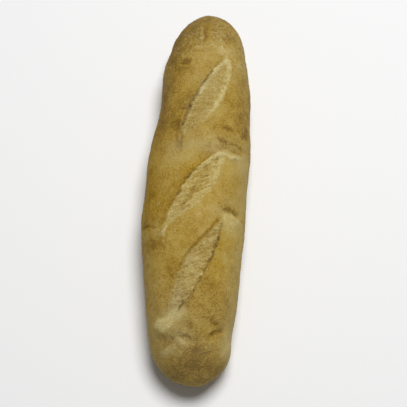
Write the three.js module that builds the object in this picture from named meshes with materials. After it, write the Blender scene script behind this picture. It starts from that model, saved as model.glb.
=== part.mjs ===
// A French sub roll: one long loaf of baked dough, with three slanting slashes that opened in the oven.
// Millimetres. The roll lies on its flat base: +Y runs along it to the far end, +X to its right, +Z up.
import * as THREE from "three";

// Whole loaf
const LENGTH = 216;
const WIDTH = 55;
const HEIGHT = 42.5;
const TIP_HEIGHT = 0.42 * HEIGHT;

// At each end: the share of the width lost by then, and the length over which the outline rounds off
const FAR_END = { taper: 0.4, cap: 23 };
const NEAR_END = { taper: 0.36, cap: 21 };

// The crown line sinks a little to the ends, and the crown and the base both turn in to the tips
const CROWN_TAPER = 0.14;
const CROWN_CAP = 46;
const BASE_CAP = 26;

// The axis sways sideways: to the left along the near half and a little to the right along the far half
const SWAY = 2;
const SWAY_SKEW = 1.95;

// Cross-section: superellipses above and below the widest line, the lower one cut off flat by the base
const WAIST_SHARE = 0.44;
const CROWN_FULLNESS = 2.15;
const BELLY_FULLNESS = 2.8;
const BASE_SINK = 1.12;

// Slashes as seen from above. Their two edges bow out from the line between the tips by their reach,
// a lower fullness keeps an edge out for longer, and a skew above 1 takes its widest place towards the
// near tip. The crust lifts in a lip along one edge. The torn floor is deepest under the lip, and it
// rises to a small step at the other edge.
const SLASHES = [
  {
    far: [11.3, 71.3],
    near: [-11.6, 20.5],
    left: { reach: 4.7, fullness: 0.7, skew: 1.2 },
    right: { reach: 10.4, fullness: 0.5, skew: 1.1 },
    lip: "left",
    lipHeight: 0.9,
    depth: 1.4,
    step: 0.3,
  },
  {
    far: [11.2, 12.1],
    near: [-17.6, -31.4],
    left: { reach: 6.4, fullness: 1.2, skew: 0.82 },
    right: { reach: 7.9, fullness: 1.1, skew: 0.77 },
    lip: "left",
    lipHeight: 0.5,
    depth: 1.1,
    step: 0.3,
  },
  {
    far: [11.5, -23.7],
    near: [-13.3, -77.2],
    left: { reach: 6, fullness: 1.6, skew: 1.28 },
    right: { reach: 6.3, fullness: 0.5, skew: 1.1 },
    lip: "right",
    lipHeight: 1,
    depth: 2.4,
    step: 1.2,
  },
];
const SLASH_RISE = 1.5;
const SLASH_WALL = 1.5;
const LIP_WIDTH = 3.5;

// Folds in the crust, as seen from above: creases with soft sides
const FOLDS = [
  { from: [12, 15], to: [22, 16.5], width: 2, depth: 0.6 },
  { from: [12.5, -20], to: [20.5, -21], width: 1.9, depth: 1.1 },
  { from: [8.5, -86.4], to: [15, -81.5], width: 2, depth: 0.7 },
  { from: [-4, -87.6], to: [-17, -88.8], width: 2.4, depth: 0.9 },
  { from: [-3.7, 95], to: [-4, 76.5], width: 1.8, depth: 0.5 },
];

// Swellings, and with a height below zero hollows, as seen from above
const SWELLINGS = [
  { at: [15.7, -24], radius: 5, height: 1 },
  { at: [17, 11], radius: 4, height: 0.6 },
  { at: [-15, -82], radius: 5.5, height: 1.2 },
  { at: [-7, -91], radius: 4, height: 0.5 },
  { at: [-17, -98], radius: 10, height: 0.9 },
  { at: [17, -95], radius: 8, height: 0.7 },
  { at: [20, -83], radius: 8, height: -0.5 },
  { at: [22, -65], radius: 16, height: 0.5 },
  { at: [-27, -60], radius: 13, height: -0.8 },
  { at: [-29, -24], radius: 22, height: 1.1 },
  { at: [-27, 20], radius: 12, height: 0.5 },
  { at: [-25, 45], radius: 12, height: -1 },
  { at: [-21, 70.5], radius: 11, height: 2 },
  { at: [-17.5, 82.5], radius: 5, height: -0.5 },
  { at: [-14, 95], radius: 8, height: -0.4 },
  { at: [23, 60], radius: 12, height: 0.7 },
  { at: [20, 83], radius: 7, height: -0.4 },
  { at: [13, 99], radius: 8, height: 1.1 },
  { at: [2, 106], radius: 7, height: -0.4 },
  { at: [-9, -104], radius: 6, height: 0.25 },
];

// Gentle unevenness of the dough: waves over the skin, each with its two wavelengths and a start
const UNEVENNESS = 0.15;
const WAVES = [
  { acrossWave: 31, alongWave: 57, start: 0.4 },
  { acrossWave: -47, alongWave: 36, start: 1.9 },
  { acrossWave: 22, alongWave: -78, start: 3.1 },
];

// No relief on the base: it grows from nothing at the floor to its full size at this height.
// Slashes and folds fade in over this share of the way from the widest line up to the crown.
const RELIEF_CLEAR = 7;
const CUT_FADE = 0.3;

// Skin mesh: stations along the roll and points round each, closer together on the crown
const STATIONS = 102;
const RING_POINTS = 56;
const CROWN_CROWDING = 1.3;

const { clamp, smoothstep } = THREE.MathUtils;

// Quarter ellipse: 1 along the roll, falling to 0 over the last stretch before the tip
function roundOff(y, cap) {
  const share = clamp((Math.abs(y) - (LENGTH / 2 - cap)) / cap, 0, 1);
  return Math.sqrt(1 - share ** 2);
}

// Sizes of the plain loaf at one place along it
function loafAt(y) {
  const share = (2 * y) / LENGTH;
  const end = y > 0 ? FAR_END : NEAR_END;
  const halfWidth = (WIDTH / 2) * (1 - end.taper * share ** 2) * roundOff(y, end.cap);
  const fullCrown = HEIGHT * (1 - CROWN_TAPER * share ** 2);
  const crown = TIP_HEIGHT + (fullCrown - TIP_HEIGHT) * roundOff(y, CROWN_CAP);
  const base = TIP_HEIGHT * (1 - roundOff(y, BASE_CAP));
  const waist = base + WAIST_SHARE * (crown - base);
  const axis = -SWAY * (1 - share ** 2) * (1 - SWAY_SKEW * share);
  return { halfWidth, crown, base, waist, axis };
}

// Point of the plain loaf at an angle round it, 0 on the crown and growing to the right
function loafPoint(y, angle) {
  const { halfWidth, crown, base, waist, axis } = loafAt(y);
  const up = Math.cos(angle);
  const across = Math.sin(angle);
  const power = 2 / (up > 0 ? CROWN_FULLNESS : BELLY_FULLNESS);
  const x = axis + halfWidth * Math.sign(across) * Math.abs(across) ** power;
  const lift = Math.abs(up) ** power;
  const belly = Math.max(base, waist - BASE_SINK * (waist - base) * lift);
  const z = up > 0 ? waist + (crown - waist) * lift : belly;
  return new THREE.Vector3(x, y, z);
}

// Stations walk along the outline at even steps, so they crowd together where it turns in to a tip
function stationY(step) {
  const { cap } = step > 0 ? FAR_END : NEAR_END;
  const straight = LENGTH / 2 - cap;
  const walked = Math.abs(step) * (straight + (cap * Math.PI) / 2);
  const turn = Math.max(0, walked - straight) / cap;
  return Math.sign(step) * (Math.min(walked, straight) + cap * Math.sin(turn));
}

function ringAngle(step) {
  return (Math.PI * (step + CROWN_CROWDING * step ** 3)) / (1 + CROWN_CROWDING);
}

// How far out an edge of a slash is from the line between its tips
function bow(edge, along) {
  const moved = along ** edge.skew;
  return edge.reach * (4 * moved * (1 - moved)) ** edge.fullness;
}

// Relief of one slash
function slashRelief(slash, x, y) {
  const [farX, farY] = slash.far;
  const [nearX, nearY] = slash.near;
  const length = Math.hypot(nearX - farX, nearY - farY);
  const alongX = (nearX - farX) / length;
  const alongY = (nearY - farY) / length;
  const along = ((x - farX) * alongX + (y - farY) * alongY) / length;
  const across = (y - farY) * alongX - (x - farX) * alongY;
  const openness = Math.max(0, 4 * along * (1 - along));
  if (openness === 0) return 0;

  const leftEdge = -bow(slash.left, along);
  const rightEdge = bow(slash.right, along);
  const fromLip = slash.lip === "left" ? across - leftEdge : rightEdge - across;
  const gape = rightEdge - leftEdge;
  const beyond = gape - fromLip;

  const pastLip = smoothstep(fromLip, -SLASH_WALL, SLASH_WALL);
  const inside = pastLip * smoothstep(beyond, -SLASH_WALL, SLASH_WALL);
  const floor = slash.step + (slash.depth - slash.step) * clamp(beyond / gape, 0, 1) ** SLASH_RISE;
  const lip = slash.lipHeight * Math.exp(Math.min(0, fromLip) / LIP_WIDTH) * (1 - pastLip);
  return Math.sqrt(openness) * lip - openness * floor * inside;
}

function foldRelief(fold, x, y) {
  const [fromX, fromY] = fold.from;
  const runX = fold.to[0] - fromX;
  const runY = fold.to[1] - fromY;
  const place = clamp(((x - fromX) * runX + (y - fromY) * runY) / (runX ** 2 + runY ** 2), 0, 1);
  const distance = Math.hypot(x - fromX - place * runX, y - fromY - place * runY);
  return -fold.depth * Math.exp(-((distance / fold.width) ** 2));
}

function swellingRelief(swelling, x, y) {
  const distance = Math.hypot(x - swelling.at[0], y - swelling.at[1]);
  return swelling.height * Math.exp(-((distance / swelling.radius) ** 2));
}

function waveRelief(wave, x, y) {
  const phase = 2 * Math.PI * (x / wave.acrossWave + y / wave.alongWave) + wave.start;
  return UNEVENNESS * Math.sin(phase);
}

const sum = (features, relief, x, y) => features.reduce((total, one) => total + relief(one, x, y), 0);

// How far the skin stands off the plain loaf. Slashes and folds are on the crown side alone.
function skinRelief({ x, y, z }) {
  const { waist, crown } = loafAt(y);
  const onCrown = smoothstep(z, waist, waist + CUT_FADE * (crown - waist));
  const cuts = sum(SLASHES, slashRelief, x, y) + sum(FOLDS, foldRelief, x, y);
  const dough = sum(SWELLINGS, swellingRelief, x, y) + sum(WAVES, waveRelief, x, y);
  return smoothstep(z, 0, RELIEF_CLEAR) * (onCrown * cuts + dough);
}

// Closed skin: a point at each tip, rings of points between them, and triangles that face out
function plainSkin() {
  const points = [new THREE.Vector3(0, -LENGTH / 2, TIP_HEIGHT)];
  for (let station = 1; station < STATIONS; station += 1) {
    const y = stationY((2 * station) / STATIONS - 1);
    for (let point = 0; point < RING_POINTS; point += 1) {
      points.push(loafPoint(y, ringAngle((2 * point) / RING_POINTS - 1)));
    }
  }
  points.push(new THREE.Vector3(0, LENGTH / 2, TIP_HEIGHT));

  const farTip = points.length - 1;
  const at = (station, point) => 1 + (station - 1) * RING_POINTS + (point % RING_POINTS);
  const triangles = [];
  for (let point = 0; point < RING_POINTS; point += 1) {
    triangles.push(0, at(1, point + 1), at(1, point));
    triangles.push(farTip, at(STATIONS - 1, point), at(STATIONS - 1, point + 1));
    for (let station = 1; station < STATIONS - 1; station += 1) {
      const corner = at(station, point);
      const opposite = at(station + 1, point + 1);
      triangles.push(corner, at(station, point + 1), opposite);
      triangles.push(corner, opposite, at(station + 1, point));
    }
  }

  const skin = new THREE.BufferGeometry().setFromPoints(points);
  skin.setIndex(triangles);
  skin.computeVertexNormals();
  return skin;
}

// The finished skin, moved so that the middle of its base is the origin
function rollGeometry() {
  const skin = plainSkin();
  const positions = skin.getAttribute("position");
  const normals = skin.getAttribute("normal");
  const point = new THREE.Vector3();
  const outward = new THREE.Vector3();
  for (let index = 0; index < positions.count; index += 1) {
    point.fromBufferAttribute(positions, index);
    outward.fromBufferAttribute(normals, index);
    point.addScaledVector(outward, skinRelief(point));
    positions.setXYZ(index, point.x, point.y, point.z);
  }
  skin.computeBoundingBox();
  const middle = skin.boundingBox.getCenter(new THREE.Vector3());
  skin.translate(-middle.x, -middle.y, -skin.boundingBox.min.z);
  skin.computeVertexNormals();
  return skin;
}

const crust = new THREE.MeshStandardMaterial({ color: "#a08542", roughness: 0.8, metalness: 0 });

const roll = new THREE.Mesh(rollGeometry(), crust);
roll.name = "roll";

const frenchSubRoll = new THREE.Group();
frenchSubRoll.add(roll);

export default frenchSubRoll;
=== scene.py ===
# A French sub roll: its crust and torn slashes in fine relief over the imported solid, and a plain studio.
import math
from collections import namedtuple
from types import SimpleNamespace

import bpy
import numpy as np
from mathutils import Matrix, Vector, noise


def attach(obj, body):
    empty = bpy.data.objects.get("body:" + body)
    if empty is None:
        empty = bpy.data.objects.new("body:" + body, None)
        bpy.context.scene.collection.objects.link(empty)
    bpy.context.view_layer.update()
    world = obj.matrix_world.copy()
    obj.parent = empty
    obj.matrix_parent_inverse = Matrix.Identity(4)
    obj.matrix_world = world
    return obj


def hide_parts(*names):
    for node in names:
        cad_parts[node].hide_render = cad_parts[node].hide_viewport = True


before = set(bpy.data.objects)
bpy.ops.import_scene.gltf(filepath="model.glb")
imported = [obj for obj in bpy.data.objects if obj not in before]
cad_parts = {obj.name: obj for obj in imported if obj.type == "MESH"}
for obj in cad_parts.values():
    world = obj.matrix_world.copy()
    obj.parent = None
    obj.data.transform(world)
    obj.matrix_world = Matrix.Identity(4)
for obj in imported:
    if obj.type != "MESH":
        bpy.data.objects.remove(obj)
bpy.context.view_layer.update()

MM = 0.001

# Whole loaf, in millimetres like every size of the roll below, with +Y to the far end and +Z up
LENGTH = 216
WIDTH = 55
HEIGHT = 42.5
TIP_HEIGHT = 0.42 * HEIGHT

# At each end: the share of the width lost by then, and the length over which the outline rounds off
FAR_END = SimpleNamespace(taper=0.4, cap=23)
NEAR_END = SimpleNamespace(taper=0.36, cap=21)

# The crown line sinks a little to the ends, and the crown and the base both turn in to the tips
CROWN_TAPER = 0.14
CROWN_CAP = 46
BASE_CAP = 26

# The axis sways sideways: to the left along the near half and a little to the right along the far half
SWAY = 2
SWAY_SKEW = 1.95

# Cross-section: superellipses above and below the widest line, the lower one cut off by the base.
# The edge of that cut is rounded, by no more than a share of the belly's depth, which is nothing at a tip.
WAIST_SHARE = 0.44
CROWN_FULLNESS = 2.15
BELLY_FULLNESS = 2.8
BASE_SINK = 1.12
BASE_ROUNDING = 1.2
ROUNDING_SHARE = 0.2

# Noises over the skin: the size of their lumps, how many finer layers they have, a start and a strength
Grain = namedtuple("Grain", "size octaves start strength")
SWELL_GRAIN = Grain(14, 2, 0, 0.25)
LUMP_GRAIN = Grain(5.5, 3, 0, 1)
PATCH_WANDER = Grain(8, 2, 0, 0.9)
CREASE_WANDER = Grain(3.2, 3, 0, 0.8)
CREASE_GAPS = Grain(3, 2, 7, 1)
EDGE_WANDER = Grain(2.4, 3, 0, 1)
EDGE_FRAY = Grain(1.8, 3, 33, 1.6)
GROOVE_GAPS = Grain(1.9, 2, 11, 1)
STRIP_GAPS = Grain(2.2, 3, 21, 1)
LONG_STRANDS = Grain((6, 1.0, 6), 2, 0, 1.4)
SHORT_STRANDS = Grain(2, 3, 50, 0.65)
VEIN_GRAIN = Grain(3.6, 2, 70, 1)
CRUMB_GRAIN = Grain(1.1, 2, 0, 0.12)

# Each finer layer of a noise has half the size of the one before, and half its strength
LAYER_STEP = 2.0
LAYER_FALL = 1.0

# A second, unlike noise of a kind starts this much later
SECOND_START = 9

# A line that is in pieces is gone where its noise is below the first of these and whole above the second
GAP_EDGES = (-0.3, 0.4)

# Slashes as seen from above. Their two edges bow out from the line between the tips by their reach. A lower
# fullness keeps an edge out for longer, and a skew above 1 takes its widest place towards the near tip.
# Starts and ends are shares of the way from the far tip to the near one.
# The crust lifts in a lip along one edge and is browned beside it. The lip hangs over grooves, dark with
# burnt crust and painted shade, which are in pieces unless they are even. Pale torn strips lie beside them, a
# smooth pale band along the other edge, and torn strands between. The floor lies deeper by the step at the
# other edge and by the depth at the lip. The rim is how soft the other edge is, and faint is how much softer
# it gets towards the near tip.
# Shaded is a furrow just outside it, darkened as browned crust and as painted shade, a higher tone makes the
# crumb darker, and both edges wander.
Edge = namedtuple("Edge", "reach fullness skew")
Groove = namedtuple("Groove", "place width depth dark start end evenness")
Strip = namedtuple("Strip", "place width strength start end")
Band = namedtuple("Band", "width strength end")
SLASHES = [
    SimpleNamespace(
        far=(11.3, 71.3),
        near=(-11.6, 20.5),
        left=Edge(4.7, 0.7, 1.2),
        right=Edge(10.4, 0.5, 1.1),
        lip="left",
        overhang=0.2,
        browned=0.15,
        lip_wander=0.4,
        edge_wander=0.7,
        grooves=[
            Groove(place=0.4, width=0.5, depth=0.7, dark=1.1, start=0.2, end=0.44, evenness=0.1),
            Groove(place=0.4, width=0.6, depth=1.0, dark=1.2, start=0.46, end=1.0, evenness=0.3),
        ],
        strips=[
            Strip(0, 0.45, 0.5, 0.4, 1.0),
            Strip(1.4, 1.3, 1.45, -0.1, 0.5),
            Strip(2.0, 0.7, 0.7, 0.45, 1.0),
        ],
        band=Band(width=1.6, strength=1.6, end=0.75),
        depth=1.4,
        lip_height=0.9,
        lip_from=0.4,
        torn=0.18,
        rim=1.2,
        step=0.3,
        shaded=0.0,
        faint=3.0,
        tone=0.0,
    ),
    SimpleNamespace(
        far=(11.2, 12.1),
        near=(-17.6, -31.4),
        left=Edge(6.4, 1.2, 0.82),
        right=Edge(7.9, 1.1, 0.77),
        lip="left",
        overhang=0.2,
        browned=0.3,
        lip_wander=0.7,
        edge_wander=0.7,
        grooves=[
            Groove(place=0.3, width=0.5, depth=0.9, dark=0.9, start=0.32, end=0.66, evenness=0.0),
            Groove(place=5.8, width=0.8, depth=0.6, dark=0.35, start=0.42, end=0.8, evenness=0.4),
        ],
        strips=[Strip(0.9, 0.6, 0.6, 0.05, 0.6), Strip(2.0, 1.2, 0.4, 0.5, 0.8)],
        band=Band(width=2.2, strength=0.5, end=0.75),
        depth=1.1,
        lip_height=0.5,
        lip_from=0.3,
        torn=0.36,
        rim=1.2,
        step=0.3,
        shaded=0.0,
        faint=0.0,
        tone=-0.1,
    ),
    SimpleNamespace(
        far=(11.5, -23.7),
        near=(-13.3, -77.2),
        left=Edge(6, 1.6, 1.28),
        right=Edge(6.3, 0.5, 1.1),
        lip="right",
        overhang=0.0,
        browned=0.12,
        lip_wander=1.0,
        edge_wander=0.5,
        grooves=[
            Groove(place=0.2, width=0.5, depth=1.4, dark=1.5, start=0.04, end=0.36, evenness=0.45),
            Groove(place=0.2, width=0.45, depth=0.9, dark=0.9, start=0.38, end=0.66, evenness=0.15),
            Groove(place=0.2, width=0.5, depth=1.1, dark=1.2, start=0.66, end=1.0, evenness=0.1),
        ],
        strips=[],
        band=Band(width=1.7, strength=0.0, end=0.7),
        depth=2.4,
        lip_height=1.0,
        lip_from=0.0,
        torn=0.25,
        rim=1.1,
        step=1.2,
        shaded=0.35,
        faint=0.0,
        tone=-0.05,
    ),
]

# What the slashes share: how the floor rises and the wall under the lip, then the widths, places, heights
# and runs of their parts, and how far outside their edges the crumb still has its tone
SLASH_RISE = 1.5
SLASH_WALL = 0.35
LIP_WIDTH = 3.5
OVERHANG_WIDTH = 1.4
BROWNED_WIDTH = 2.6
SHADED_PLACE = -0.6
SHADED_WIDTH = 0.9
SHADED_RUN = (0.4, 0.8)
FAINT_RUN = (0.5, 0.9)
STRIP_HEIGHT = 0.4
STRIP_DULL = 1.1
BAND_HEIGHT = 0.35
STRAND_SLANT = math.radians(25)
SMALLEST_GAPE = 0.1
SLASH_MARGIN = 3

# Lengths over which parts of a slash fade in and out, as shares of the way along it
GROOVE_FADE = 0.08
STRIP_FADE = 0.1
BAND_FADE = 0.2
LIP_FADE = 0.15

# How even the pale strips and the band are, and how far they smooth the strands
STRIP_EVENNESS = 0.4
BAND_EVENNESS = 0.6
STRIP_SMOOTHING = 0.3
BAND_SMOOTHING = 0.7
MOST_SMOOTHING = 0.9

# Where marks begin and are full: by how open the slash is, and by the distance inside the lip or the rim
OPENING = (0.02, 0.25)
CRUMB_PAST_LIP = (-0.2, 0.3)
CRUMB_PAST_RIM = (-0.4, 1.2)
CRACK_AND_SHADE_PAST_LIP = (-0.3, 0.2)

# The crumb's middle tone, and how much paler its strands are than the hollows between them
STRAND_TONE = 0.5
STRAND_CONTRAST = 0.8

# Folds in the crust, as seen from above: creases with soft sides
Fold = namedtuple("Fold", "start end width depth")
FOLDS = [
    Fold((12, 15), (22, 16.5), 2, 0.6),
    Fold((12.5, -20), (20.5, -21), 1.9, 1.1),
    Fold((8.5, -86.4), (15, -81.5), 2, 0.7),
    Fold((-4, -87.6), (-17, -88.8), 2.4, 0.9),
    Fold((-3.7, 95), (-4, 76.5), 1.8, 0.5),
]

# Fine creases and, with a lift above zero, ridges along the crust, as paths seen from above. Flour stays on
# the ridges and leaves them pale, and the creases are darker, as browning and as painted shade.
Crease = namedtuple("Crease", "path width lift pale bake evenness", defaults=[0.5])
CREASES = [
    Crease([(-0.6, 1.6), (3, 5.3), (6, 8.7), (8.9, 11), (11.5, 11.5), (15.9, 10.1)], 1.3, 0.9, 1.05, 0, 0.8),
    Crease([(15.9, 10.1), (18.3, 11), (21.3, 12.4)], 1.3, 0.4, 0.6, 0, 0.6),
    Crease([(11.4, 8.4), (9.4, 5.9), (9.3, 3), (8.2, -0.4), (7.1, -3.8)], 1.2, 0.4, 0.75, 0, 0.85),
    Crease([(8.2, 9), (7.6, 5.5)], 0.7, -0.3, 0, 0.25, 0.8),
    Crease([(0.5, -8), (-5, -14.4), (-9.2, -19.2)], 0.7, -0.6, 0, 0.35, 0.85),
    Crease([(8, 21), (10.5, 19.2), (13, 18.2)], 1.0, -0.5, 0, 0.4, 0.85),
    Crease([(16, 18.4), (18.4, 18.2), (20.5, 17.2)], 0.9, -0.4, 0, 0.35, 0.8),
    Crease([(14, -19.4), (16.5, -19.8), (19, -20.4)], 1.4, -0.6, 0, 0.32, 0.9),
    Crease([(19, -20.4), (21, -21.4), (22.5, -22.6)], 1.0, -0.4, 0, 0.2, 0.8),
    Crease([(6.5, -87.4), (8.4, -86.3), (10, -85.6)], 1.1, -0.4, 0, 0.35, 0.8),
    Crease([(10, -85.6), (12.4, -84), (14.3, -82.5)], 1.2, -0.6, 0, 0.4, 0.9),
    Crease([(-7.5, -86.6), (-2.5, -88.2)], 1.2, -0.4, 0, 0.12),
    Crease([(-8.6, -88.8), (-6, -89.5), (-4.2, -90.3)], 1.3, 0.4, 0.6, 0),
    Crease([(-14.5, -95), (-11.5, -93.2), (-9.5, -92.4)], 1.8, 0.3, 0.5, 0),
    Crease([(-28.4, -27.8), (-25.3, -28.9), (-21.8, -30.4)], 0.7, -0.5, 0, 0.22, 0.8),
    Crease([(-14.6, -22.5), (-16.2, -28), (-17.6, -33)], 1.2, 0.4, 0.7, 0),
    Crease([(-16.9, -31.6), (-17.8, -34.8)], 1.4, 0.4, 0.9, 0, 0.9),
    Crease([(-13.6, 30), (-13.6, 24), (-13.8, 18)], 0.7, -0.3, 0, 0.12),
    Crease([(-12.3, 28), (-12.5, 21), (-12.8, 15), (-13.2, 12)], 0.8, 0.2, 0.4, 0, 0.5),
    Crease([(-18.2, -80.6), (-14.5, -82), (-11.5, -78.7), (-5.5, -75.2)], 2.4, 0.3, 0.8, 0, 0.75),
    Crease([(-3.9, 95), (-3.1, 85), (-3, 78), (-5, 76.8)], 0.7, 0.4, 0.45, 0, 0.85),
    Crease([(-6.3, 82), (-6.8, 77.8), (-5, 77), (-10.5, 71.5), (-13, 68)], 0.7, 0.2, 0.25, 0, 0.2),
    Crease([(0.5, 84), (2.5, 78), (7, 76.5)], 0.7, 0.2, 0.25, 0, 0.2),
    Crease([(7, 76.5), (11.5, 75.4), (10.9, 69.5)], 0.9, 0.25, 0.5, 0, 0.7),
    Crease([(3.2, 59.6), (6, 62.6), (10, 66.4)], 1.7, 0.2, 0.8, 0),
]

# Patches of the crust that are browner, paler with flour, or duller, as seen from above with their two radii.
# Some of the browner and duller ones are painted shade, and one pale dot is a painted glint.
# A strength below zero makes them lighter or warmer instead, and a crispness above 1 gives a clearer edge.
Patch = namedtuple("Patch", "at radii strength crispness", defaults=[1])
BROWN_AND_SHADE_PATCHES = [
    Patch((-16.5, 90), (7, 12), 0.36),
    Patch((-17.5, 72), (5, 14), 0.28),
    Patch((-13, 60), (4, 6), 0.18),
    Patch((0, 101), (18, 6), 0.3),
    Patch((2, 90), (11, 10), 0.12),
    Patch((-1.2, 86), (1.3, 9), 0.25),
    Patch((-6, 89), (4.5, 8), 0.25),
    Patch((-11.5, 75), (4, 4), 0.18),
    Patch((-7, 75.5), (4.5, 4), 0.22),
    Patch((11, 87), (3.5, 5), 0.3),
    Patch((-10.4, 66.8), (2.6, 2.2), 0.4, 2),
    Patch((-11, 42), (4, 9), 0.15),
    Patch((-16, 33), (5, 12), 0.22),
    # Painted shade: the left flank darker
    Patch((-23, 38), (4, 22), 0.35),
    Patch((-20.5, 54), (3, 10), 0.12),
    Patch((-17, 21), (4, 9), 0.08),
    Patch((-12.4, 17), (1.5, 7), 0.26),
    Patch((-4, 24), (3.5, 3), 0.15),
    Patch((-5.5, 32), (4, 6), 0.12),
    Patch((9.4, 47.6), (3, 3.5), 0.14),
    Patch((-7, 10), (5, 5), -0.18),
    Patch((-11.8, 37.3), (1.2, 0.8), 0.5),
    Patch((-13.8, 29.2), (1.2, 0.8), 0.5),
    Patch((-26, -12), (4, 18), 0.22),
    Patch((-21, 0), (3.5, 10), 0.06),
    Patch((-24, -33), (4.5, 3.2), -0.22),
    Patch((12.6, 27.1), (3.8, 2.2), 0.4, 2),
    Patch((19, 34), (4, 8), 0.2),
    Patch((21, 50), (5, 13), 0.2),
    Patch((22.7, 30.5), (1.6, 4), 0.45),
    Patch((21.7, 24.9), (1.3, 2), 0.3),
    Patch((19.6, 36.3), (1.3, 1.4), 0.25),
    Patch((23.6, 40.2), (1.5, 2), 0.25),
    Patch((10, 14.4), (7, 1.6), 0.2),
    Patch((17, 14), (4, 1.8), 0.15),
    Patch((13, 3), (4.5, 5), -0.18),
    Patch((3, -25), (8, 9), -0.1),
    Patch((22, -32), (3, 14), -0.12),
    Patch((11.5, -17), (4, 3), 0.1),
    Patch((11, -45), (5, 12), -0.12),
    Patch((-21, 9), (5, 9), -0.12),
    Patch((-1, -50), (5, 8), -0.12),
    Patch((6, -11), (5, 6), -0.12),
    Patch((-21.8, -39.5), (4.5, 4), 0.3),
    Patch((-4, -38), (5, 7), 0.15),
    Patch((-13, -54), (4, 8), 0.22),
    Patch((6.5, -62), (3.5, 5), 0.2),
    Patch((1, -72), (5, 5), 0.14),
    Patch((13.5, -70), (5, 7), 0.2),
    Patch((-17, -68), (4, 6), 0.12),
    Patch((9.6, -79), (3.4, 1.3), 0.36),
    Patch((5.6, -78), (2.5, 1.2), 0.25),
    Patch((-2.2, -82), (1.8, 1.8), 0.35),
    Patch((1.6, -85.2), (3.4, 3), 0.27),
    Patch((14.5, -85.5), (2.4, 2.4), 0.2),
    Patch((8.5, -74), (4, 3), 0.12),
    Patch((9, -91), (6, 4), 0.1),
    Patch((-8, -65), (5, 8), 0.2),
    Patch((-12.5, -90), (5, 2.5), 0.25),
    Patch((-3.5, -87.6), (5, 1.8), 0.22),
    Patch((2, -92.8), (2.6, 1.2), 0.25),
    Patch((4, -95), (8, 4), 0.12),
    # Painted shade: the near tip darker, where less light falls
    Patch((-1, -101.5), (13, 6), 0.46),
]
PALE_PATCHES = [
    Patch((8.5, 74.5), (3.2, 2.4), 0.3),
    Patch((-9, 55), (5, 7), 0.1),
    Patch((3.6, 55.8), (3, 2.6), 0.3),
    Patch((-16, 14), (7, 8), 0.15),
    Patch((-6.3, 14.7), (6, 6), 0.25),
    Patch((19.2, 9), (4, 3.4), 0.42),
    Patch((23, 1), (2.6, 20), 0.26),
    Patch((16.2, -24), (4.6, 3.8), 1.0, 2),
    Patch((15.7, -29.8), (3.6, 3.8), 0.75, 1.5),
    Patch((19, -28), (3, 7), 0.2),
    # Painted highlight: a glint on a small blister
    Patch((-20.9, -17.4), (0.6, 0.6), 0.9),
    Patch((-14.4, -81.2), (3.8, 3), 1.3, 1.5),
    Patch((-8, -78), (4.5, 2.6), 0.35),
    Patch((17.2, -89.5), (3.4, 7), 0.7),
    Patch((20, -74), (3, 14), 0.4),
    Patch((-20, -86), (4, 9), 0.3),
    Patch((-12, -93.4), (4, 3), 0.28),
]
DULL_PATCHES = [
    Patch((-27, 0), (4, 30), -1.1),
    Patch((-2, -7), (9, 13), -0.8),
    Patch((13.5, 2), (5, 6), -0.4),
    Patch((17, -31), (6, 7), -0.9),
    Patch((11.5, -46), (5, 13), -0.8),
    Patch((-20, -17), (5, 8), -0.6),
    Patch((-1, 90), (3, 9), -1.0),
    Patch((-8, -42), (6, 9), -0.3),
    Patch((9, -84), (8, 4), -0.8),
    Patch((11, -21.5), (3.5, 3), 1.3),
    Patch((-8, -87), (7, 5), 1.1),
    Patch((-12, -74), (7, 3), 0.6),
    Patch((7, 13), (9, 3), 1.0),
    Patch((-2.3, 53.5), (3, 5), 0.9),
    Patch((-8.8, 39.5), (3, 5), 0.9),
    Patch((-4.5, -48), (3.5, 6), 0.9),
    Patch((-14.5, -75.5), (4.5, 2.5), 0.8),
    Patch((15, -15.5), (4, 3.5), 0.9),
    Patch((22, 80), (3, 16), 0.7),
    Patch((-21, 58), (3, 12), 0.5),
    Patch((0, 92), (22, 22), 1.0),
    Patch((0, 104), (18, 5), 0.5),
    Patch((22, 60), (5, 30), 0.6),
    Patch((7, 17), (14, 6), 1.2),
    Patch((-13, 14), (6, 8), 0.6),
    Patch((23, 0), (4, 30), 0.5),
    Patch((19, -62), (6, 16), 0.7),
    Patch((23, -45), (4, 16), 0.6),
    Patch((17, -82), (5, 12), 0.5),
    # Painted shade: the near tip greyer
    Patch((0, -105), (14, 6), 0.5),
    Patch((-9, -68), (6, 8), 1.2),
    Patch((-14.5, -81), (6, 4), -0.5),
    # Painted shade: the near end greyer
    Patch((0, -92), (26, 20), 1.1),
]
PATCHES = {"bake": BROWN_AND_SHADE_PATCHES, "pale": PALE_PATCHES, "dull": DULL_PATCHES}

# Fine pale wrinkles that net the crust in places
VEINED_PATCHES = [
    Patch((-9, 80), (12, 15), 1.3),
    Patch((7, 85), (9, 11), 1.5),
    Patch((14, 70), (8, 14), 0.9),
    Patch((3, -93), (12, 6), 0.6),
    Patch((0, 0), (60, 140), 0.25),
]
VEIN_WIDTH = 0.13
VEIN_HEIGHT = 0.4
VEIN_PALE = 0.42

# Swellings, and with a height below zero hollows, as seen from above
Swelling = namedtuple("Swelling", "at radius height")
SWELLINGS = [
    Swelling((15.7, -24), 5, 1),
    Swelling((17, 11), 4, 0.6),
    Swelling((-15, -82), 5.5, 1.2),
    Swelling((-7, -91), 4, 0.5),
    Swelling((-17, -98), 10, 0.9),
    Swelling((17, -95), 8, 0.7),
    Swelling((20, -83), 8, -0.5),
    Swelling((22, -65), 16, 0.5),
    Swelling((-27, -60), 13, -0.8),
    Swelling((-29, -24), 22, 1.1),
    Swelling((-27, 20), 12, 0.5),
    Swelling((-25, 45), 12, -1.0),
    Swelling((-21, 70.5), 11, 2),
    Swelling((-17.5, 82.5), 5, -0.5),
    Swelling((-14, 95), 8, -0.4),
    Swelling((23, 60), 12, 0.7),
    Swelling((20, 83), 7, -0.4),
    Swelling((13, 99), 8, 1.1),
    Swelling((2, 106), 7, -0.4),
    Swelling((-9, -104), 6, 0.25),
]

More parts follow.
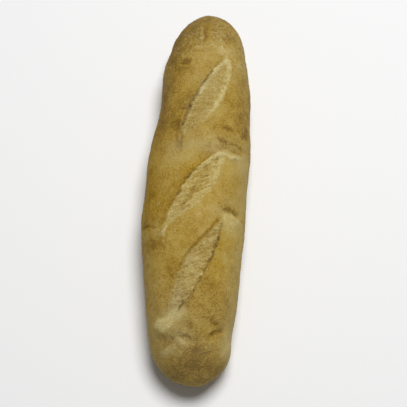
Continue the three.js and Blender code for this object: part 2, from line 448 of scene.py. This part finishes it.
# Gentle unevenness of the dough: waves over the skin, each with its two wavelengths and a start
Wave = namedtuple("Wave", "across along start")
UNEVENNESS = 0.15
WAVES = [Wave(31, 57, 0.4), Wave(-47, 36, 1.9), Wave(22, -78, 3.1)]

# Lumps in the crust, and how much paler they are than the hollows between them
LUMP_HEIGHT = 0.16
LUMP_BAKE = 0.06

# No relief on the base: it grows from nothing at the floor to its full size at this height.
# Slashes and folds fade in over this share of the way from the widest line up to the crown, and a little
# more, so that the fade has some length at the tips too.
RELIEF_CLEAR = 7
CUT_FADE = 0.3
SMALLEST_FADE = 0.01

# Patches fade in between these heights on the flanks, and the crust is duller below
PATCH_FADE = (2, 16)
BASE_DULL = 0.8

# The base is browned where it lay on its tray
BASE_BAKE = 0.25
BASE_BAKE_HEIGHT = 5

# Skin mesh: stations along the roll and points round each, closer together on the crown
STATIONS = 520
RING_POINTS = 186
CROWN_CROWDING = 1.3

# What the finish reads at each point of the skin: torn crumb, flour with one painted glint, browning with
# painted shade, dullness with some painted shade, cracks with painted shade in the grooves, and strands
MARKS = ("crumb", "pale", "bake", "dull", "crack", "strand")


def smooth(value, low, high):
    """0 up to the low value, 1 from the high one on, and a smooth rise between."""
    share = np.clip((value - low) / (high - low), 0, 1)
    return share**2 * (3 - 2 * share)


def bell(distance, width):
    """1 in the middle, falling off smoothly with the distance."""
    return np.exp(-((distance / width) ** 2))


def grain(points, kind):
    """Fractal noise at the points, about as far above as below zero."""
    places = (points / kind.size + kind.start).tolist()
    values = [noise.fractal(place, LAYER_FALL, LAYER_STEP, kind.octaves) for place in places]
    return kind.strength * np.array(values)


def in_pieces(points, kind):
    """A share from 0 to 1 that breaks a line up."""
    return smooth(grain(points, kind), *GAP_EDGES)


def evened(pieces, evenness):
    """Closes the gaps of a line in pieces, all of them where the evenness is 1."""
    return evenness + (1 - evenness) * pieces


def slanted(points):
    """Points turned about +Z, so that what runs along x there runs slantwise on the roll."""
    sine, cosine = math.sin(STRAND_SLANT), math.cos(STRAND_SLANT)
    x, y, z = points.T
    return np.column_stack([cosine * x + sine * y, cosine * y - sine * x, z])


def round_off(y, cap):
    """Quarter ellipse: 1 along the roll, falling to 0 over the last stretch before the tip."""
    share = np.clip((np.abs(y) - (LENGTH / 2 - cap)) / cap, 0, 1)
    return np.sqrt(1 - share**2)


def loaf_at(y):
    """Sizes of the plain loaf at places along it."""
    share = 2 * y / LENGTH
    taper = np.where(y > 0, FAR_END.taper, NEAR_END.taper)
    cap = np.where(y > 0, FAR_END.cap, NEAR_END.cap)
    full_crown = HEIGHT * (1 - CROWN_TAPER * share**2)
    crown = TIP_HEIGHT + (full_crown - TIP_HEIGHT) * round_off(y, CROWN_CAP)
    base = TIP_HEIGHT * (1 - round_off(y, BASE_CAP))
    return SimpleNamespace(
        half_width=WIDTH / 2 * (1 - taper * share**2) * round_off(y, cap),
        crown=crown,
        base=base,
        waist=base + WAIST_SHARE * (crown - base),
        axis=-SWAY * (1 - share**2) * (1 - SWAY_SKEW * share),
    )


def loaf_points(y, angle):
    """Points of the plain loaf at angles round it, 0 on the crown and growing to the right."""
    loaf = loaf_at(y)
    up = np.cos(angle)
    across = np.sin(angle)
    power = 2 / np.where(up > 0, CROWN_FULLNESS, BELLY_FULLNESS)
    x = loaf.axis + loaf.half_width * np.sign(across) * np.abs(across) ** power
    lift = np.abs(up) ** power
    belly_depth = loaf.waist - loaf.base
    rounding = np.minimum(BASE_ROUNDING, ROUNDING_SHARE * belly_depth)
    over_base = belly_depth * (1 - BASE_SINK * lift)
    belly = loaf.base + (over_base + np.hypot(over_base, rounding)) / 2
    z = np.where(up > 0, loaf.waist + (loaf.crown - loaf.waist) * lift, belly)
    return np.stack(np.broadcast_arrays(x, y, z), axis=-1)


def station_y(step):
    """Stations walk along the outline at even steps, so they crowd together where it turns in to a tip."""
    cap = np.where(step > 0, FAR_END.cap, NEAR_END.cap)
    straight = LENGTH / 2 - cap
    walked = np.abs(step) * (straight + cap * math.pi / 2)
    turn = np.maximum(0, walked - straight) / cap
    return np.sign(step) * (np.minimum(walked, straight) + cap * np.sin(turn))


def ring_angle(step):
    """Angles round a station, closer together near the crown."""
    return math.pi * (step + CROWN_CROWDING * step**3) / (1 + CROWN_CROWDING)


def plain_skin():
    """Points of the plain loaf, the way out at each, and the faces: rings of points and a tip at each end."""
    y = station_y(np.linspace(-1, 1, STATIONS + 1)[1:-1])
    angle = ring_angle(np.linspace(-1, 1, RING_POINTS, endpoint=False))
    rings = loaf_points(y[:, None], angle[None, :])
    around = np.roll(rings, -1, axis=1) - np.roll(rings, 1, axis=1)
    outward = np.cross(around, np.gradient(rings, axis=0))
    outward /= np.linalg.norm(outward, axis=-1, keepdims=True)
    tips = np.array([[0, -LENGTH / 2, TIP_HEIGHT], [0, LENGTH / 2, TIP_HEIGHT]])
    tip_outward = np.array([[0, -1, 0], [0, 1, 0]])

    index = np.arange(rings.shape[0] * RING_POINTS).reshape(-1, RING_POINTS)
    beside = np.roll(index, -1, axis=1)
    quads = np.stack([index[:-1], beside[:-1], beside[1:], index[1:]], axis=-1).reshape(-1, 4)
    near_tip, far_tip = index.size, index.size + 1
    near_fan = [(near_tip, right, left) for left, right in zip(index[0], beside[0])]
    far_fan = [(far_tip, left, right) for left, right in zip(index[-1], beside[-1])]
    return SimpleNamespace(
        points=np.vstack([rings.reshape(-1, 3), tips]),
        outward=np.vstack([outward.reshape(-1, 3), tip_outward]),
        faces=quads.tolist() + near_fan + far_fan,
    )


def bow(edge, share):
    """How far out an edge of a slash is from the line between its tips."""
    moved = np.clip(share, 0, 1) ** edge.skew
    return edge.reach * (4 * moved * (1 - moved)) ** edge.fullness


def slash_place(slash, x, y):
    """Where plan points lie in a slash: how open it is there, and how far they are inside its two edges."""
    far = np.array(slash.far)
    run = np.array(slash.near) - far
    length = np.hypot(*run)
    along_way = run / length
    right_way = np.array([-along_way[1], along_way[0]])
    share = ((x - far[0]) * along_way[0] + (y - far[1]) * along_way[1]) / length
    across = (x - far[0]) * right_way[0] + (y - far[1]) * right_way[1]
    openness = np.maximum(0, 4 * share * (1 - share))
    left_edge = -bow(slash.left, share)
    right_edge = bow(slash.right, share)
    lip_left = slash.lip == "left"
    return SimpleNamespace(
        share=share,
        openness=openness,
        from_lip=across - left_edge if lip_left else right_edge - across,
        beyond=right_edge - across if lip_left else across - left_edge,
        gape=np.maximum(right_edge - left_edge, SMALLEST_GAPE),
        inward=right_way if lip_left else -right_way,
    )


def run_along(share, start, end, fade):
    """1 between two places along a slash, fading out past both."""
    return smooth(share, start - fade, start + fade) * (1 - smooth(share, end - fade, end + fade))


def slash_forms(skin, slash):
    """What a slash has at each point: how much of its floor, grooves, strips and band, and its strands."""
    points = skin.points
    place = slash_place(slash, points[:, 0], points[:, 1])
    wander = grain(points, EDGE_WANDER)
    place.from_lip += slash.lip_wander * wander
    place.beyond += slash.edge_wander * wander
    fading = slash.faint * smooth(place.share, *FAINT_RUN)
    past_lip = smooth(place.from_lip, -SLASH_WALL, SLASH_WALL)
    inside = past_lip * smooth(place.beyond, -slash.rim, slash.rim + fading)

    groove_pieces = in_pieces(points, GROOVE_GAPS)
    groove = np.zeros(len(points))
    crack = np.zeros(len(points))
    for one in slash.grooves:
        run = run_along(place.share, one.start, one.end, GROOVE_FADE)
        run *= evened(groove_pieces, one.evenness)
        run *= bell(np.maximum(0, place.from_lip) - one.place, one.width)
        groove += one.depth * run
        crack += one.dark * run

    strip_pieces = in_pieces(points, STRIP_GAPS)
    strip = np.zeros(len(points))
    for one in slash.strips:
        run = run_along(place.share, one.start, one.end, STRIP_FADE)
        strip += one.strength * run * bell(place.from_lip - one.place, one.width)
    strip *= evened(strip_pieces, STRIP_EVENNESS)

    band = slash.band.strength * bell(place.beyond - slash.band.width, slash.band.width) * inside
    band *= 1 - smooth(place.share, slash.band.end - BAND_FADE, slash.band.end + BAND_FADE)
    band *= evened(strip_pieces, BAND_EVENNESS)

    smoothing = np.clip(BAND_SMOOTHING * band + STRIP_SMOOTHING * strip, 0, MOST_SMOOTHING)
    strands = grain(slanted(points), LONG_STRANDS) + grain(points, SHORT_STRANDS)
    furrow = slash.shaded * bell(place.beyond - SHADED_PLACE, SHADED_WIDTH)
    return SimpleNamespace(
        place=place,
        fading=fading,
        past_lip=past_lip,
        inside=inside,
        groove=groove,
        crack=crack,
        strip=strip,
        band=band,
        strands=slash.torn * (1 - smoothing) * strands,
        shaded=furrow * (1 - smooth(place.share, *SHADED_RUN)),
        shown=smooth(place.openness, *OPENING) * skin.on_crown,
    )


def cut_slash(skin, slash, forms):
    """Relief: a lip that hangs over a groove, and a torn floor that rises to the other edge."""
    place = forms.place
    beside_lip = np.minimum(0, place.from_lip)
    outside = 1 - forms.past_lip
    opened = np.sqrt(place.openness) * skin.on_crown
    sunk = place.openness * skin.on_crown
    slope = np.clip(place.beyond / place.gape, 0, 1) ** SLASH_RISE
    floor = slash.step + (slash.depth - slash.step) * slope
    raised = forms.strands + grain(skin.points, CRUMB_GRAIN)
    raised += STRIP_HEIGHT * forms.strip + BAND_HEIGHT * forms.band
    lip = slash.lip_height * np.exp(beside_lip / LIP_WIDTH) * outside
    lip *= smooth(place.share, slash.lip_from - LIP_FADE, slash.lip_from + LIP_FADE)
    skin.lift += opened * (lip + forms.inside * raised)
    skin.lift -= sunk * forms.inside * floor + opened * forms.inside * forms.groove
    skin.lift -= forms.shaded * forms.shown
    overhang = np.exp(beside_lip / OVERHANG_WIDTH) * outside - forms.groove * forms.inside
    skin.slide += (opened * slash.overhang * overhang)[:, None] * place.inward


def tint_slash(skin, slash, forms):
    """Marks of a slash: crumb with a frayed edge, pale strips and band, browned crust and a furrow of painted
    shade, and dark grooves of burnt crust and painted shade.
    """
    place = forms.place
    marks = skin.marks
    frayed = place.beyond + grain(skin.points, EDGE_FRAY)
    rim_start, rim_end = CRUMB_PAST_RIM
    crumb = forms.shown * smooth(place.from_lip, *CRUMB_PAST_LIP)
    crumb *= smooth(frayed, rim_start, rim_end + forms.fading)
    near_edges = (place.from_lip > -SLASH_MARGIN) & (place.beyond > -SLASH_MARGIN)
    in_slash = (place.openness > 0) & near_edges
    strand = STRAND_TONE - slash.tone + STRAND_CONTRAST * forms.strands
    beside_lip = np.exp(np.minimum(0, place.from_lip) / BROWNED_WIDTH)
    browned = slash.browned * (1 - forms.past_lip) * beside_lip
    marks["crumb"] = np.maximum(marks["crumb"], crumb)
    marks["strand"] = np.where(in_slash, strand, marks["strand"])
    marks["pale"] += forms.shown * forms.inside * (forms.band + forms.strip)
    marks["dull"] += STRIP_DULL * forms.shown * forms.inside * forms.strip
    # Browned crust beside the lip, and the furrow outside the other edge darkened as browning and painted
    # shade
    marks["bake"] += forms.shown * (browned + forms.shaded)
    # Painted shade: the grooves under the lip are darkened as burnt crust and as the shade that falls in them
    marks["crack"] += forms.shown * forms.crack * smooth(place.from_lip, *CRACK_AND_SHADE_PAST_LIP)


def line_distance(points, start, end):
    """How far plan points are from a stretch of line."""
    start = np.array(start)
    run = np.array(end) - start
    offset = points - start
    place = np.clip(offset @ run / (run @ run), 0, 1)
    return np.linalg.norm(offset - place[:, None] * run, axis=1)


def fold_crust(skin, fold):
    """Sinks the crust along a fold."""
    distance = line_distance(skin.warped, fold.start, fold.end)
    skin.lift -= skin.on_crown * fold.depth * bell(distance, fold.width)


def crease_crust(skin, crease):
    """Lifts or sinks the crust along a path, and tints it there."""
    steps = zip(crease.path, crease.path[1:])
    distance = np.min([line_distance(skin.creased, start, end) for start, end in steps], axis=0)
    shown = evened(skin.crease_pieces, crease.evenness)
    share = skin.on_crown * shown * bell(distance, crease.width)
    flour_and_glint = skin.on_crown * shown * bell((distance / crease.width) ** 2, 1)
    skin.lift += crease.lift * share
    skin.marks["pale"] += crease.pale * flour_and_glint
    # Painted shade: creases darkened where shade falls, together with browning
    skin.marks["bake"] += crease.bake * share


def patch_share(skin, patch):
    """How strong a patch is at each point."""
    distance = np.linalg.norm((skin.warped - patch.at) / patch.radii, axis=1)
    return skin.above_base * patch.strength * bell(distance**patch.crispness, 1)


def wrinkle_crust(skin):
    """Raises a net of fine pale wrinkles, everywhere but on the torn crumb."""
    veined = sum(patch_share(skin, patch) for patch in VEINED_PATCHES)
    veins = veined * (1 - skin.marks["crumb"]) * bell(grain(skin.points, VEIN_GRAIN), VEIN_WIDTH)
    skin.lift += VEIN_HEIGHT * veins
    skin.marks["pale"] += VEIN_PALE * veins


def swell_dough(skin, swelling):
    """Lifts the dough in a swelling, or sinks it in a hollow."""
    distance = np.linalg.norm(skin.points[:, :2] - swelling.at, axis=1)
    skin.lift += swelling.height * bell(distance, swelling.radius)


def wave_dough(skin, wave):
    """Lifts and sinks the dough in a long gentle wave."""
    turns = skin.points[:, 0] / wave.across + skin.points[:, 1] / wave.along
    phase = 2 * math.pi * turns + wave.start
    skin.lift += UNEVENNESS * np.sin(phase)


def drift(points, kind):
    """Small moves to and fro in plan, so that what is drawn there has no straight edges."""
    aside = kind._replace(start=kind.start + SECOND_START)
    return np.column_stack([grain(points, kind), grain(points, aside)])


def bare_skin():
    """The plain loaf's skin, where its relief and marks may show, and no relief or marks yet."""
    skin = plain_skin()
    points = skin.points
    loaf = loaf_at(points[:, 1])
    fade_end = loaf.waist + CUT_FADE * (loaf.crown - loaf.waist) + SMALLEST_FADE
    skin.height = points[:, 2]
    skin.on_crown = smooth(skin.height, loaf.waist, fade_end)
    skin.above_base = smooth(skin.height, *PATCH_FADE)
    skin.creased = points[:, :2] + drift(points, CREASE_WANDER)
    skin.warped = skin.creased + drift(points, PATCH_WANDER)
    skin.crease_pieces = in_pieces(points, CREASE_GAPS)
    skin.lift = np.zeros(len(points))
    skin.slide = np.zeros((len(points), 2))
    skin.marks = {name: np.zeros(len(points)) for name in MARKS}
    return skin


def brown_base(skin):
    """Dulls the foot of the crust and browns the base."""
    skin.marks["dull"] += BASE_DULL * (1 - skin.above_base)
    skin.marks["bake"] += BASE_BAKE * (1 - smooth(skin.height, 0, BASE_BAKE_HEIGHT))


def lump_crust(skin):
    """Makes the crust lumpy, with the lumps paler than the hollows between them."""
    lumps = grain(skin.points, LUMP_GRAIN)
    skin.lift += grain(skin.points, SWELL_GRAIN) + LUMP_HEIGHT * lumps
    skin.marks["bake"] -= LUMP_BAKE * lumps


def make_skin():
    """The skin with all its relief and marks."""
    skin = bare_skin()
    for slash in SLASHES:
        forms = slash_forms(skin, slash)
        cut_slash(skin, slash, forms)
        tint_slash(skin, slash, forms)
    for fold in FOLDS:
        fold_crust(skin, fold)
    for crease in CREASES:
        crease_crust(skin, crease)
    for mark, patches in PATCHES.items():
        for patch in patches:
            skin.marks[mark] += patch_share(skin, patch)
    wrinkle_crust(skin)
    for swelling in SWELLINGS:
        swell_dough(skin, swelling)
    for wave in WAVES:
        wave_dough(skin, wave)
    brown_base(skin)
    lump_crust(skin)
    return skin


def skin_mesh(skin):
    """The finished skin as a mesh in metres, moved so that the middle of its base is the origin."""
    clear = smooth(skin.height, 0, RELIEF_CLEAR)[:, None]
    slide = np.column_stack([skin.slide, np.zeros(len(skin.slide))])
    slide -= skin.outward * np.sum(slide * skin.outward, axis=1, keepdims=True)
    points = skin.points + clear * (skin.outward * skin.lift[:, None] + slide)
    low, high = points.min(axis=0), points.max(axis=0)
    points -= [(low[0] + high[0]) / 2, (low[1] + high[1]) / 2, low[2]]
    mesh = bpy.data.meshes.new("bread")
    mesh.from_pydata((points * MM).tolist(), [], skin.faces)
    mesh.shade_smooth()
    for name, values in skin.marks.items():
        mesh.attributes.new(name, "FLOAT", "POINT").data.foreach_set("value", values)
    return mesh


# Numbers of the Mix node's sockets for colours, which share their names with its other sockets
MIX_FIRST = 6
MIX_SECOND = 7
MIX_RESULT = 2

# Noise in the finish: how strong its finer layers are, and its middle value
NOISE_ROUGHNESS = 0.6
NOISE_MIDDLE = 0.5


class Wire:
    """An output of a finish's nodes. Arithmetic on wires adds Math nodes."""

    def __init__(self, finish, socket):
        self.finish = finish
        self.socket = socket

    def math(self, operation, first, second):
        """Adds a Math node."""
        return self.finish.node("ShaderNodeMath", {"operation": operation}, {0: first, 1: second})

    def __add__(self, other):
        return self.math("ADD", self, other)

    def __sub__(self, other):
        return self.math("SUBTRACT", self, other)

    def __rsub__(self, other):
        return self.math("SUBTRACT", other, self)

    def __mul__(self, other):
        return self.math("MULTIPLY", self, other)

    __radd__ = __add__
    __rmul__ = __mul__


class Finish:
    """A material whose nodes are added one by one."""

    def __init__(self, name):
        self.material = bpy.data.materials.new(name)
        self.material.use_nodes = True
        self.tree = self.material.node_tree
        self.shader = self.tree.nodes["Principled BSDF"]

    def feed(self, socket, value):
        """Links a wire to a socket, or sets a plain value there."""
        if isinstance(value, Wire):
            self.tree.links.new(value.socket, socket)
        else:
            socket.default_value = value

    def node(self, kind, settings, sockets, output=0):
        """Adds a node: its settings first, then values or wires for its sockets, by name or number."""
        made = self.tree.nodes.new(kind)
        for name, value in settings.items():
            if name == "stops":
                self.set_stops(made.color_ramp.elements, value)
            else:
                setattr(made, name, value)
        for name, value in sockets.items():
            self.feed(made.inputs[name], value)
        return Wire(self, made.outputs[output])

    def set_stops(self, elements, stops):
        """Gives a colour ramp its stops: positions and colours."""
        while len(elements) < len(stops):
            elements.new(1)
        for element, (position, colour) in zip(elements, stops):
            element.position = position
            element.color = (*colour, 1)

    def mark(self, name):
        """One of the marks on the skin."""
        return self.node("ShaderNodeAttribute", {"attribute_name": name}, {}, "Fac")

    def grain(self, place, speckle):
        """Noise about zero, with lumps of the speckle's size."""
        scale = 1 / (speckle.size * MM)
        sockets = {"Vector": place, "Scale": scale, "Detail": speckle.layers, "Roughness": NOISE_ROUGHNESS}
        return self.node("ShaderNodeTexNoise", {}, sockets) - NOISE_MIDDLE

    def ramp(self, value, stops):
        """Colour that a ramp gives for a value."""
        return self.node("ShaderNodeValToRGB", {"stops": stops}, {"Fac": value})

    def blend(self, share, first, second):
        """Colour that goes from the first to the second with the share."""
        sockets = {"Factor": share, MIX_FIRST: first, MIX_SECOND: second}
        return self.node("ShaderNodeMix", {"data_type": "RGBA"}, sockets, MIX_RESULT)


# Colours from pale to browned crust, whose dark end also gives painted shade, from hollows to strands of
# crumb, of darker and paler flour, which also gives one painted glint, and of cracks and painted shade in
# grooves
CRUST_COLOURS = [
    (0.0, (0.51, 0.41, 0.15)),
    (0.3, (0.43, 0.305, 0.080)),
    (0.55, (0.38, 0.244, 0.043)),
    (0.75, (0.29, 0.175, 0.025)),
    (1.0, (0.195, 0.112, 0.018)),
]
CRUMB_COLOURS = [
    (0.1, (0.24, 0.155, 0.040)),
    (0.45, (0.37, 0.258, 0.071)),
    (0.6, (0.41, 0.298, 0.095)),
    (0.9, (0.53, 0.43, 0.18)),
]
FLOUR_AND_GLINT_COLOURS = [(0.3, (0.485, 0.375, 0.135)), (0.7, (0.585, 0.48, 0.205))]
CRACK_AND_SHADE_COLOUR = (0.12, 0.07, 0.016, 1)

# Noises of the finish: the size of their lumps in millimetres and how many finer layers they have
Speckle = namedtuple("Speckle", "size layers")
BLOTCHES = Speckle(20, 3)
CLOUDS = Speckle(8, 3)
DUST = Speckle(7, 3)
MOTTLE = Speckle(3.2, 3)
FLECKS = Speckle(0.8, 2)
FIBRES = Speckle(1.0, 2)
FIBRE_STRETCH = (0.2, 1, 0.2)

# Crust: the tone of its middle colour, and how strongly each noise shows in it
CRUST_TONE = 0.5
CRUST_BLOTCHES = 0.5
CRUST_CLOUDS = 0.45
CRUST_MOTTLE = 0.6
CRUST_FLECKS = 1.0

# Torn crumb: how much the browning and painted shade darken it, and how strongly each noise shows in it
CRUMB_BAKE_AND_SHADE = 0.7
CRUMB_FLECKS = 1.1
CRUMB_MOTTLE = 0.6
CRUMB_FIBRES = 0.5

# Flour, which also gives one painted glint: its middle tone, how much lies on pale places and all over, and
# how much less on browned crust and painted shade
FLOUR_AND_GLINT_TONE = 0.5
FLOUR_AND_GLINT_COVER = 0.8
FLOUR_DUST = 0.8
FLOUR_BAKE_AND_SHADE = 0.6

# Cracks and painted shade in the grooves: how dark they are, and how far the flecks break them up
CRACK_AND_SHADE_COVER = 0.8
CRACK_AND_SHADE_FLECKS = 1.5

# Dull places: how far they turn yellower and lose colour, from a hue that changes nothing
PLAIN_HUE = 0.5
DULL_HUE = 0.003
DULL_FADE = 0.075

# How rough the crust is and how much rougher its crumb and mottle, its gloss, and its finest bumps
CRUST_ROUGHNESS = 0.62
CRUMB_ROUGHER = 0.25
MOTTLE_ROUGHER = 0.1
CRUST_GLOSS = 0.06
BUMP_STRENGTH = 0.7
BUMP_HEIGHT = 0.4
FIBRE_BUMPS = 1.5


def bread_finish():
    """Browned crust and torn crumb, under flour and cracks; the browning and the cracks also hold painted
    shade, and the flour one painted glint.
    """
    finish = Finish("bread")
    place = finish.node("ShaderNodeTexCoord", {}, {}, "Object")
    stretched = {"Vector": place, "Rotation": (0, 0, -STRAND_SLANT), "Scale": FIBRE_STRETCH}
    across = finish.node("ShaderNodeMapping", {}, stretched)
    crumb, pale, bake, dull, crack, strand = [finish.mark(name) for name in MARKS]
    blotches = finish.grain(place, BLOTCHES)
    clouds = finish.grain(place, CLOUDS)
    dust = finish.grain(place, DUST)
    mottle = finish.grain(place, MOTTLE)
    flecks = finish.grain(place, FLECKS)
    fibres = finish.grain(across, FIBRES)

    crust_tone = bake + CRUST_TONE + CRUST_BLOTCHES * blotches + CRUST_CLOUDS * clouds
    crust_tone = crust_tone + CRUST_MOTTLE * mottle + CRUST_FLECKS * flecks
    crumb_tone = strand - CRUMB_BAKE_AND_SHADE * bake
    crumb_tone = crumb_tone + CRUMB_FLECKS * flecks + CRUMB_MOTTLE * mottle + CRUMB_FIBRES * fibres
    flour_and_glint = FLOUR_DUST * dust - FLOUR_BAKE_AND_SHADE * bake + pale * (FLOUR_AND_GLINT_COVER + mottle + flecks)
    cracked_and_shaded = CRACK_AND_SHADE_COVER * crack + CRACK_AND_SHADE_FLECKS * crack * flecks

    crust_colour = finish.ramp(crust_tone, CRUST_COLOURS)
    crumb_colour = finish.ramp(crumb_tone, CRUMB_COLOURS)
    flour_and_glint_colour = finish.ramp(FLOUR_AND_GLINT_TONE + mottle + flecks, FLOUR_AND_GLINT_COLOURS)
    colour = finish.blend(crumb, crust_colour, crumb_colour)
    colour = finish.blend(flour_and_glint, colour, flour_and_glint_colour)
    colour = finish.blend(cracked_and_shaded, colour, CRACK_AND_SHADE_COLOUR)
    faded = {"Hue": PLAIN_HUE + DULL_HUE * dull, "Saturation": 1 - DULL_FADE * dull, "Color": colour}
    colour = finish.node("ShaderNodeHueSaturation", {}, faded)

    roughness = CRUST_ROUGHNESS + CRUMB_ROUGHER * crumb + MOTTLE_ROUGHER * mottle
    height = flecks + mottle + FIBRE_BUMPS * crumb * fibres
    bumps = {"Strength": BUMP_STRENGTH, "Distance": BUMP_HEIGHT * MM, "Height": height}
    inputs = finish.shader.inputs
    finish.feed(inputs["Base Color"], colour)
    finish.feed(inputs["Roughness"], roughness)
    finish.feed(inputs["Normal"], finish.node("ShaderNodeBump", {}, bumps))
    finish.feed(inputs["Specular IOR Level"], CRUST_GLOSS)
    return finish.material


FLOOR_COLOUR = (0.9, 0.9, 0.9, 1)
FLOOR_ROUGHNESS = 0.9


def floor_finish():
    """Plain matt white."""
    finish = Finish("floor")
    finish.feed(finish.shader.inputs["Base Color"], FLOOR_COLOUR)
    finish.feed(finish.shader.inputs["Roughness"], FLOOR_ROUGHNESS)
    return finish.material


def make_bread():
    """The dressed roll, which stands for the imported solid."""
    bread = bpy.data.objects.new("bread", skin_mesh(make_skin()))
    bpy.context.scene.collection.objects.link(bread)
    bread.data.materials.append(bread_finish())
    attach(bread, "root")
    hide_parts("roll")


# Floor, in metres
FLOOR_HALF_WIDTH = 3


def make_floor():
    """A large square under the roll."""
    half = FLOOR_HALF_WIDTH
    corners = [(-half, -half, 0), (half, -half, 0), (half, half, 0), (-half, half, 0)]
    mesh = bpy.data.meshes.new("floor")
    mesh.from_pydata(corners, [], [(0, 1, 2, 3)])
    mesh.materials.append(floor_finish())
    floor = bpy.data.objects.new("floor", mesh)
    bpy.context.scene.collection.objects.link(floor)


def aim(thing, place, target):
    """Puts a camera or lamp at a place, turned to its target."""
    thing.location = place
    thing.rotation_euler = (Vector(target) - Vector(place)).to_track_quat("-Z", "Y").to_euler()
    bpy.context.scene.collection.objects.link(thing)


# Camera: where it looks in the roll's frame, from how far in metres and from what angle, its focal length
# in pixels of a picture of this width, the width of its sensor in millimetres, and what is too near to show
TARGET = Vector((4.05, -8.99, 20)) * MM
CAMERA_DISTANCE = 0.6
CAMERA_AZIMUTH = math.radians(2.5)
CAMERA_ELEVATION = math.radians(68)
FOCAL_PIXELS = 1113
IMAGE_PIXELS = 407
SENSOR = 36
CLIP_START = 0.01


def make_camera():
    """Looks down on the roll from its near end."""
    level = math.cos(CAMERA_ELEVATION)
    back = Vector((
        math.sin(CAMERA_AZIMUTH) * level,
        -math.cos(CAMERA_AZIMUTH) * level,
        math.sin(CAMERA_ELEVATION),
    ))
    data = bpy.data.cameras.new("camera")
    data.sensor_width = SENSOR
    data.lens = SENSOR * FOCAL_PIXELS / IMAGE_PIXELS
    data.clip_start = CLIP_START
    camera = bpy.data.objects.new("camera", data)
    aim(camera, TARGET + CAMERA_DISTANCE * back, TARGET)
    bpy.context.scene.camera = camera


# Light: one large soft lamp above, in metres and watts, and an even glow all round
KEY_PLACE = (0.15, 0.28, 1.2)
KEY_SIZE = 0.6
KEY_POWER = 14
GLOW = 0.15


def make_studio():
    """Light, and plain colours in the picture."""
    scene = bpy.context.scene
    scene.view_settings.view_transform = "Standard"
    world = bpy.data.worlds.new("studio")
    world.use_nodes = True
    background = world.node_tree.nodes["Background"]
    background.inputs["Color"].default_value = (1, 1, 1, 1)
    background.inputs["Strength"].default_value = GLOW
    scene.world = world
    key = bpy.data.lights.new("key", "AREA")
    key.shape = "DISK"
    key.size = KEY_SIZE
    key.energy = KEY_POWER
    aim(bpy.data.objects.new("key", key), KEY_PLACE, (0, 0, 0))


make_bread()
make_floor()
make_camera()
make_studio()
